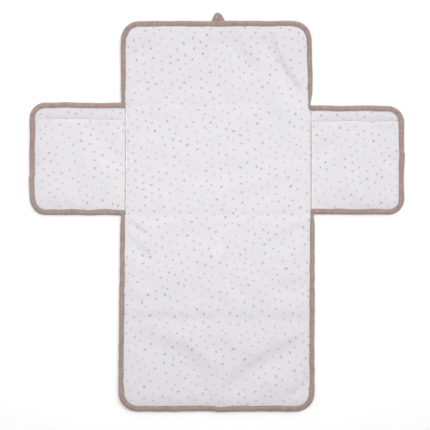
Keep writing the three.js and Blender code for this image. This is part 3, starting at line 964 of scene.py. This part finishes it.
def bindingRings(route, place, reach, height, seed, drawnIn=0.0, joinAt=None):
    # place turns nominal x and y into the real ones; reach and height have one value for each ring
    points, inward, lengths = route
    profile = np.array(bindingShape["profile"])
    wander = bindingShape["edgeWander"] * ripples(lengths, 0.0, seed, 25.0, 120.0)
    widths = reach + bindingShape["reachWander"] * ripples(lengths, 0.0, seed + 1, 14.0, 70.0)
    plump = 1.0 + 0.025 * ripples(lengths, 0.0, seed + 2, 9.0, 40.0)
    if joinAt is not None:
        wander = wander - bindingShape["joinStep"] * tapeJoin(lengths, joinAt)
        height = height * (1.0 + bindingShape["joinRise"] * tapeJoin(lengths, joinAt))
    depth = (wander + drawnIn)[:, None] + (widths - drawnIn)[:, None] * profile[None, :, 0]
    nominal = points[:, None, :] + inward[:, None, :] * depth[:, :, None]
    x, y = place(nominal[:, :, 0], nominal[:, :, 1])
    z = profile[None, :, 1] * height[:, None] * np.where(profile[None, :, 1] > 0.5, plump[:, None], 1.0)
    rings = np.stack([x, y, z], axis=2)
    girth = lengthsAlong(np.concatenate([profile, profile[:1]]) * (reach.mean(), height.mean()))
    return rings, lengths, outwardRings(rings, girth)


def bindingPiece(name, made, first, last):
    lengths, (rings, normals, girth) = made[1:]
    return sweptBody(name, rings[first:last], normals[first:last], lengths[first:last], girth, boundTape)


def stitchLine(made, first, last, profileShare, lift):
    # a line of thread along the tape, at a place across its profile
    rings = made[0][first:last]
    low = int(profileShare)
    share = profileShare - low
    line = rings[:, low] * (1.0 - share) + rings[:, low + 1] * share
    return line + np.array((0.0, 0.0, lift))


def bindingLines(made, first, last):
    return [stitchLine(made, first, last, stitch["topShare"], stitch["topLift"]),
            stitchLine(made, first, last, stitch["underShare"], stitch["underLift"])]


def makeMatBinding():
    shape = matShape
    tuck = bindingShape["matTuck"]
    made = {}
    half = shape["halfWidth"]
    for name, edge, endY, inwards, seed in (("flap", "top", matTop, -1.0, 51),
                                            ("low", "bottom", matBottom, 1.0, 61)):
        corners = ((-half, wingShapes["left"][edge] + inwards * tuck), (-half, endY), (half, endY),
                   (half, wingShapes["right"][edge] + inwards * tuck))
        route = roundedRoute(corners, shape["cornerRadius"], bindingShape["step"])
        lengths = route[2]
        ends = smoothStep(lengths / 60.0) * smoothStep((lengths[-1] - lengths) / 60.0)
        x, y = route[0].T
        reach = (bindingShape["matReach"] - 1.0 + 1.0 * ends
                 + bindingShape["endReach"] * smoothStep((np.abs(y) - 295.0) / 20.0))
        drawnIn = np.where(x < 0.0, pinch(y, "left"), pinch(y, "right"))
        joinAt = lengths[int(np.argmax((x > -3.0) & (y < 0.0)))] if name == "low" else None
        height = np.full(len(lengths), bindingTop)
        made[name] = bindingRings(route, lambda a, b: (matX(a, b), b), reach, height, seed, drawnIn, joinAt)
    return made


matBinding = makeMatBinding()
lowCut = (midFoldY + endFoldY) / 2.0
lowCentres = matBinding["low"][0][:, 0, 1]
leftEnd = int(np.argmax(lowCentres < lowCut))
rightStart = len(lowCentres) - int(np.argmax(lowCentres[::-1] < lowCut))
bindingUpper = bindingPiece("bindingUpper", matBinding["flap"], 0, None)
bindingMidLeft = bindingPiece("bindingMidLeft", matBinding["low"], 0, leftEnd + 1)
bindingFoot = bindingPiece("bindingFoot", matBinding["low"], leftEnd, rightStart + 1)
bindingMidRight = bindingPiece("bindingMidRight", matBinding["low"], rightStart, None)
print("mat binding made")


# wings: pad, backing, pocket front and binding

wingMake = {
    "cornerRadius": 29.0,
    "gridStep": 2.8,
    "seamGap": 0.15,
    "slitReach": 1.0,              # the cloth is held down this close to the seam
    "bindingLow": 5.7,
    "bindingHigh": 6.7,            # over the pocket
    "bindingEnds": 7.1,            # over the mat's own binding
    "endRun": 14.0,
}
wingPad = {
    "clothInset": 2.5,
    "lipHeight": 3.85,
    "freeHeight": 4.45,
    "shoulder": 8.0,
    "mouthRun": (25.0, 6.0),       # the pad dips below the mouth and rises above it
    "mouthRise": (0.0, -1.5, 0.7),
    "padGap": 0.1,
}
pocket = {
    "clothInset": 3.2,
    "lip": 4.75,
    "room": 4.3,
    "thickness": 0.6,
    "edgeRun": 13.0,
    "seamRun": 30.0,
    "seamStart": 0.8,
    "closed": 0.62,                # the share of its room that it has at the bottom
    "slack": 0.34,
    "fineSlack": 0.06,
    "hemDepth": 9.0,
    "hemExtra": 0.4,
    "curlDepth": 1.1,
    "curlReach": 11.0,
    "mouthWander": 0.9,
    "mouthWanderRun": 60.0,
    "hold": 0.08,
    "growth": (0.006, 0.02),
    "gatherReach": 18.0,
    "cap": 1.6,
    "share": 0.7,
    "highest": 9.8,
}
seamEdge = {"aside": 1.3, "width": 1.9, "height": 1.3, "lift": -0.05, "lowest": 4.6, "inset": 5.0,
            "step": 1.5, "sides": 12}


def wingPlace(wing, out, y):
    # out is the distance outwards from the seam
    sign = wing["sign"]
    return wing["seam"] + sign * out, y + sign * wing["tilt"] * out


def wingWidth(wing):
    return wing["sign"] * (wing["sign"] * wing["outer"] - wing["seam"])


def wingCloth(wing, top, corner, gap):
    # one cloth's grid: distance out from the seam, y, distance in from the edge, and which faces are kept
    width, radius = wingWidth(wing), wingMake["cornerRadius"]
    low = wing["bottom"] + gap
    out, y = np.meshgrid(np.linspace(wingMake["seamGap"], width - gap, round(width / wingMake["gridStep"])),
                         np.linspace(low, top, round((top - low) / wingMake["gridStep"])))
    # points past a rounded outer corner are drawn back to it
    upper = y > (wing["bottom"] + corner) / 2.0
    centreX = width - radius
    centreY = np.where(upper, corner - radius, wing["bottom"] + radius)
    spread = np.hypot(out - centreX, y - centreY)
    outside = (out > centreX) & np.where(upper, y > centreY, y < centreY) & (spread > radius - gap)
    shrink = np.where(outside, (radius - gap) / np.maximum(spread, 1e-6), 1.0)
    out = np.where(outside, centreX + (out - centreX) * shrink, out)
    y = np.where(outside, centreY + (y - centreY) * shrink, y)
    inset = roundedInset(out, y, -400.0, width, wing["bottom"], corner, radius)
    kept = ~(outside[:-1, :-1] & outside[1:, 1:] & outside[:-1, 1:] & outside[1:, :-1])
    return out, y, inset, kept


def wingBody(name, wing, place, high, low, kept, mapShift, material):
    order = slice(None, None, int(wing["sign"]))
    top = gridPoints(*place, high)[:, order]
    return clothBody(name, top, gridPoints(*place, low)[:, order], kept[:, order], mapShift, material), top


def makeWingPad(side, wing):
    make = wingPad
    out, y, inset, kept = wingCloth(wing, wing["top"] - make["clothInset"], wing["top"], make["clothInset"])
    distance = np.minimum(inset - bindingShape["wingReach"], out - wingMake["slitReach"])
    rise = 1.0 - np.exp(-np.maximum(distance, 0.0) / make["shoulder"])
    height = make["lipHeight"] + (make["freeHeight"] - make["lipHeight"]) * rise
    height += 0.07 * rise * ripples(out, y, wing["seed"], 25.0, 80.0)
    ramped = smoothStep(out / 20.0) * smoothStep((inset - bindingShape["wingReach"] + 2.0) / 6.0)
    stations = (wing["mouth"] - make["mouthRun"][0], wing["mouth"] - make["mouthRun"][1],
                wing["top"] - bindingShape["wingReach"])
    height += ramped * np.interp(y, stations, make["mouthRise"])
    under = underside(out, y, distance, wing["seed"] + 1)
    sheetTop = under + backingShape["thickness"]
    place = wingPlace(wing, out, y)
    pad, top = wingBody(side + "WingPad", wing, place, height, sheetTop + make["padGap"], kept,
                        wing["mapShift"], printedCotton)
    sheet, _ = wingBody(side + "WingBacking", wing, place, sheetTop, under, kept, wing["mapShift"],
                        plainBacking)
    return pad, sheet, top


def makePocket(side, wing):
    make = pocket
    mouth, seed = wing["mouth"], wing["seed"]
    # its upper corners are far away, so that its mouth stays straight
    out, y, inset, kept = wingCloth(wing, mouth, mouth + 400.0, make["clothInset"])
    fromEdge = inset - bindingShape["wingReach"]
    fromSeam = np.maximum(out - make["seamStart"], 0.0)
    rise = ((1.0 - np.exp(-np.maximum(fromEdge + 0.5, 0.0) / make["edgeRun"]))
            * (1.0 - np.exp(-fromSeam / make["seamRun"])))
    upTheWing = smoothStep((y - wing["bottom"]) / (mouth - wing["bottom"]))
    openness = make["closed"] + (1.0 - make["closed"]) * upTheWing
    slack = (make["slack"] * ripples(out, y, seed + 3, 38.0, 95.0, 8)
             + make["fineSlack"] * ripples(out, y, seed + 4, 14.0, 30.0))
    curl = make["curlDepth"] * np.clip(1.0 - (mouth - y) / make["curlReach"], 0.0, 1.0) ** 2
    middle = make["lip"] + make["room"] * openness * rise + slack * rise - curl * rise
    sewn = np.minimum(np.maximum(fromEdge, 0.0), fromSeam)
    hold = np.where(sewn < 1.0, 1.0, make["hold"])
    middle += settleCloth(gridPoints(*wingPlace(wing, out, y), middle), kept, hold,
                          np.exp(-sewn / make["gatherReach"]), make, seed + 7)
    middle = np.minimum(middle, make["highest"])
    hem = smoothStep((y - mouth + make["hemDepth"]) / 1.6) * make["hemExtra"]
    half = make["thickness"] / 2.0 + hem / 2.0
    x, realY = wingPlace(wing, out, y)
    run = make["mouthWanderRun"]
    realY = realY + (make["mouthWander"] * ripples(out, 0.0, seed + 5, 60.0, 170.0)
                     * smoothStep((y - mouth + run) / run))
    return wingBody(side + "PocketFront", wing, (x, realY), middle + half, middle - half, kept,
                    wing["pocketShift"], printedCotton)


def wingBindingRings(wing):
    # the binding starts and ends over the mat's own
    make, width = wingMake, wingWidth(wing)
    start, end = wing["overlap"]
    route = roundedRoute(((start, wing["top"]), (width, wing["top"]), (width, wing["bottom"]),
                          (end, wing["bottom"])), make["cornerRadius"], bindingShape["step"])
    (x, y), lengths = route[0].T, route[2]
    withPocket = smoothStep((wing["mouth"] + 4.0 - y) / 8.0)
    heights = make["bindingLow"] + (make["bindingHigh"] - make["bindingLow"]) * withPocket
    ends = (smoothStep(1.0 - lengths / make["endRun"])
            + smoothStep(1.0 - (lengths[-1] - lengths) / make["endRun"]))
    heights = heights + (make["bindingEnds"] - heights) * ends
    joinAt = lengths[int(np.argmax((x > width - 1.0) & (y < wing["joinY"])))]
    reach = np.full(len(lengths), bindingShape["wingReach"])
    return bindingRings(route, lambda a, b: wingPlace(wing, a, b), reach, heights, wing["seed"] + 6,
                        joinAt=joinAt)


def makeSeamEdge(side, wing, top, front):
    # the folded edge of the seam beside a wing, and the line of its stitches
    edge, seed = seamEdge, wing["seed"]
    inner = 0 if wing["sign"] > 0.0 else -1
    y = np.arange(wing["bottom"] + edge["inset"], wing["top"] - edge["inset"], edge["step"])
    onPocket, onPad = (np.interp(y, cloth[:, inner, 1], cloth[:, inner, 2]) for cloth in (front, top))
    height = onPad + (onPocket - onPad) * smoothStep((wing["mouth"] + 2.0 - y) / 4.0)
    x = np.full(len(y), wing["seam"]) + 0.25 * ripples(y, 0.0, seed + 8, 9.0, 30.0)
    centre = linePoints(x + edge["aside"], y, np.maximum(height, edge["lowest"]) + edge["lift"])
    angles = np.linspace(0.0, 2.0 * math.pi, edge["sides"], endpoint=False)
    swell = 1.0 + 0.2 * ripples(y, 0.0, seed + 9, 8.0, 26.0)
    section = linePoints(np.cos(angles) * edge["width"] / 2.0, 0.0 * angles,
                          np.sin(angles) * edge["height"] / 2.0)
    rings = centre[:, None] + section[None] * swell[:, None, None]
    outwards = np.broadcast_to(unit(section), rings.shape)
    piece = sweptBody(side + "SeamEdge", rings[:, ::-1], outwards[:, ::-1], y,
                      np.linspace(0.0, 2.0 * edge["width"], edge["sides"] + 1), seamCotton)
    return piece, linePoints(x - 0.2, y, height + 0.2)


def makeWing(side):
    wing = wingShapes[side]
    pad, sheet, top = makeWingPad(side, wing)
    pocketFront, front = makePocket(side, wing)
    rings = wingBindingRings(wing)
    binding = bindingPiece(side + "WingBinding", rings, 0, None)
    pocketLength = wing["mouth"] - wing["bottom"] - pocket["clothInset"]
    hemRow = int(round((1.0 - pocket["hemDepth"] / pocketLength) * (len(front) - 1)))
    foldedEdge, seamLine = makeSeamEdge(side, wing, top, front)
    return {"pad": pad, "backing": sheet, "pocket": pocketFront, "binding": binding, "seamEdge": foldedEdge,
            "edgeLines": bindingLines(rings, 3, -3), "seamLine": seamLine,
            "hemLine": front[hemRow, 3:-3] + np.array((0.0, 0.0, 0.1)), "width": wingWidth(wing)}


wings = {side: makeWing(side) for side in wingShapes}
print("wings made")


# the loop: a narrow folded tape that turns over at its tip

loopShape = {
    "route": ((-3.6, 329.0, 3.3), (-3.9, 334.0, 3.2), (-4.0, 339.4, 3.2), (-2.2, 344.6, 3.4),
              (1.3, 346.9, 3.3), (4.9, 343.7, 2.5), (6.6, 339.4, 2.0), (7.2, 334.0, 2.2), (7.4, 329.0, 3.1)),
    "width": (11.6, 10.4, 6.8, 5.8, 5.9, 7.6, 9.8, 13.4, 14.4),
    "lean": (8.0, 14.0, 32.0, 54.0, 46.0, 20.0, 6.0, -4.0, -6.0),
    "thickness": 1.1,
    "steps": 72,
}


def alongCurve(values, t):
    # a smooth curve through evenly spaced values
    values = np.array(values, float)
    last = len(values) - 1
    place = np.clip(t, 0.0, 1.0) * last
    low = np.minimum(place.astype(int), last - 1)
    share = place - low
    grab = lambda shift: values[np.clip(low + shift, 0, last)]
    share = share.reshape((-1,) + (1,) * (values.ndim - 1))
    a, b, c, d = grab(-1), grab(0), grab(1), grab(2)
    return 0.5 * (2.0 * b + (c - a) * share + (2.0 * a - 5.0 * b + 4.0 * c - d) * share ** 2
                  + (3.0 * b - a - 3.0 * c + d) * share ** 3)


def makeLoop():
    shape = loopShape
    t = np.linspace(0.0, 1.0, shape["steps"])
    centre = alongCurve(shape["route"], t)
    width = alongCurve(shape["width"], t)
    lean = np.radians(alongCurve(shape["lean"], t))
    tangent = unit(np.gradient(centre, axis=0))
    outward = unit(np.cross(np.array((0.0, 0.0, 1.0)), tangent))
    up = np.cross(tangent, outward)
    across = outward * np.cos(lean)[:, None] - up * np.sin(lean)[:, None]
    face = np.cross(tangent, across)
    # a flat oval section with a soft crease along its middle
    angles = np.linspace(0.0, 2.0 * math.pi, 18, endpoint=False)
    flat = np.sign(np.cos(angles)) * np.abs(np.cos(angles)) ** 0.6
    thick = np.sign(np.sin(angles)) * np.abs(np.sin(angles)) ** 0.7
    crease = 0.5 * (1.0 - np.abs(flat)) + 0.15 * np.sin(5.0 * flat)
    creased = 0.7 + 1.6 * np.exp(-((t - 0.4) / 0.1) ** 2)
    rings = (centre[:, None] + across[:, None] * (flat * 0.5)[None, :, None] * width[:, None, None]
             + face[:, None] * (thick * shape["thickness"] / 2.0)[None, :, None]
             + face[:, None] * crease[None, :, None] * creased[:, None, None])
    girth = np.linspace(0.0, 2.0 * width.mean(), len(angles) + 1)
    rings, normals, girth = outwardRings(rings, girth)
    return sweptBody("closingLoop", rings, normals, lengthsAlong(centre), girth, boundTape)


closingLoop = makeLoop()
print("loop made")


# stitches: one node tree lays thread along any line

def stitchTree():
    tree = bpy.data.node_groups.new("threadRow", "GeometryNodeTree")
    for name, kind in (("Geometry", "Geometry"), ("Pitch", "Float"), ("Length", "Float"),
                       ("Thickness", "Float"), ("Seed", "Int"), ("Thread", "Material")):
        tree.interface.new_socket(name, in_out="INPUT", socket_type="NodeSocket" + kind)
    tree.interface.new_socket("Geometry", in_out="OUTPUT", socket_type="NodeSocketGeometry")
    given = tree.nodes.new("NodeGroupInput").outputs
    line = addNode(tree, "GeometryNodeMeshToCurve", {"Mesh": given["Geometry"]})
    spaced = addNode(tree, "GeometryNodeResampleCurve",
                     {"Curve": line.outputs["Curve"], "Length": given["Pitch"]}, mode="LENGTH")
    grain = addNode(tree, "GeometryNodeMeshUVSphere", {"Segments": 6, "Rings": 5, "Radius": 0.5})
    turn = addNode(tree, "FunctionNodeAlignRotationToVector",
                   {"Vector": tree.nodes.new("GeometryNodeInputTangent").outputs["Tangent"]}, axis="Z")
    chance = addNode(tree, "FunctionNodeRandomValue", {2: 0.82, 3: 1.08, "Seed": given["Seed"]},
                     data_type="FLOAT")
    length = maths(tree, "MULTIPLY", given["Length"], chance.outputs[1])
    size = addNode(tree, "ShaderNodeCombineXYZ",
                   {"X": given["Thickness"], "Y": given["Thickness"], "Z": length})
    laid = addNode(tree, "GeometryNodeInstanceOnPoints",
                   {"Points": spaced.outputs["Curve"], "Instance": grain.outputs["Mesh"],
                    "Rotation": turn.outputs["Rotation"], "Scale": size.outputs[0]})
    real = addNode(tree, "GeometryNodeRealizeInstances", {"Geometry": laid.outputs["Instances"]})
    painted = addNode(tree, "GeometryNodeSetMaterial",
                      {"Geometry": real.outputs["Geometry"], "Material": given["Thread"]})
    target = tree.nodes.new("NodeGroupOutput")
    tree.links.new(painted.outputs["Geometry"], target.inputs["Geometry"])
    return tree


threadRow = stitchTree()


def layStitches(name, lines, thread, make=stitch):
    points, edges = [], []
    for line in lines:
        start = len(points)
        points += (line / perMetre).tolist()
        edges += [(start + i, start + i + 1) for i in range(len(line) - 1)]
    mesh = bpy.data.meshes.new(name + "Line")
    mesh.from_pydata(points, edges, [])
    guide = addObject(name + "Line", mesh)
    modifier = guide.modifiers.new("thread", "NODES")
    modifier.node_group = threadRow
    values = {size.capitalize(): make[size] / perMetre for size in ("pitch", "length", "thickness")}
    values.update({"Seed": stitch["seed"], "Thread": thread})
    for item in threadRow.interface.items_tree:
        if item.item_type == "SOCKET" and item.in_out == "INPUT" and item.name in values:
            modifier[item.identifier] = values[item.name]
    view = bpy.context.evaluated_depsgraph_get()
    made = bpy.data.meshes.new_from_object(guide.evaluated_get(view), depsgraph=view)
    guide.modifiers.remove(modifier)
    bpy.data.objects.remove(guide)
    made.polygons.foreach_set("use_smooth", [True] * len(made.polygons))
    return addObject(name, made)


stitchesUpper = layStitches("stitchesUpper", bindingLines(matBinding["flap"], 5, -5), sewingThread)
stitchesMid = layStitches("stitchesMid", bindingLines(matBinding["low"], 5, leftEnd)
                          + bindingLines(matBinding["low"], rightStart, -5), sewingThread)
stitchesFoot = layStitches("stitchesFoot", bindingLines(matBinding["low"], leftEnd, rightStart), sewingThread)
for side, made in wings.items():
    made["stitches"] = layStitches(side + "WingStitches", made["edgeLines"], sewingThread)
    made["hemStitches"] = layStitches(side + "HemStitches", [made["hemLine"]], paleThread)
    made["seamStitches"] = layStitches(side + "SeamStitches", [made["seamLine"]], seamThread, seamStitch)
print("stitches laid")


# each piece's placing is baked into its mesh, and the CAD parts that it replaces are hidden; only the loop is
# attached to its body


def bendPiece(piece, bend, slot, *nodes):
    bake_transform(piece)
    if nodes:
        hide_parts(*nodes)


padNodes = {
    "matUpper": ("upper", ("centre", "top_flap")),
    "matMiddle": ("middle", ("lower",)),
    "matLower": ("lower", ("foot",)),
}
for name, pad, sheet, height in matParts:
    bend, sections = padNodes[name]
    bendPiece(pad, bend, "print_fabric", *[s + part for s in sections for part in ("_cover", "_padding")])
    bendPiece(sheet, bend, "backing_fabric", *[s + "_backing" for s in sections])

for piece, bend, node in ((bindingUpper, "upper", "top_flap_binding"),
                          (bindingMidLeft, "middle", "lower_binding_left"),
                          (bindingMidRight, "middle", "lower_binding_right"),
                          (bindingFoot, "lower", "foot_binding")):
    bendPiece(piece, bend, "binding_fabric", node)
for piece, bend in ((stitchesUpper, "upper"), (stitchesMid, "middle"), (stitchesFoot, "lower")):
    bendPiece(piece, bend, "thread")

for side, made in wings.items():
    body = side + "_wing"
    bendPiece(made["pad"], side, "print_fabric", body + "_cover", body + "_padding")
    bendPiece(made["backing"], side, "backing_fabric", body + "_backing")
    bendPiece(made["pocket"], side, "print_fabric", side + "_pocket")
    bendPiece(made["binding"], side, "binding_fabric", body + "_binding")
    bendPiece(made["seamEdge"], side, "print_fabric")
    for row in ("stitches", "seamStitches", "hemStitches"):
        bendPiece(made[row], side, "thread")

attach(closingLoop, "loop")
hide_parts("closing_loop")

for node, material, slotName in (("closing_button", mouldedButton, "button"),
                                 ("button_thread", sewingThread, "thread")):
    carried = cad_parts[node]
    carried.data.materials.clear()
    carried.data.materials.append(material)
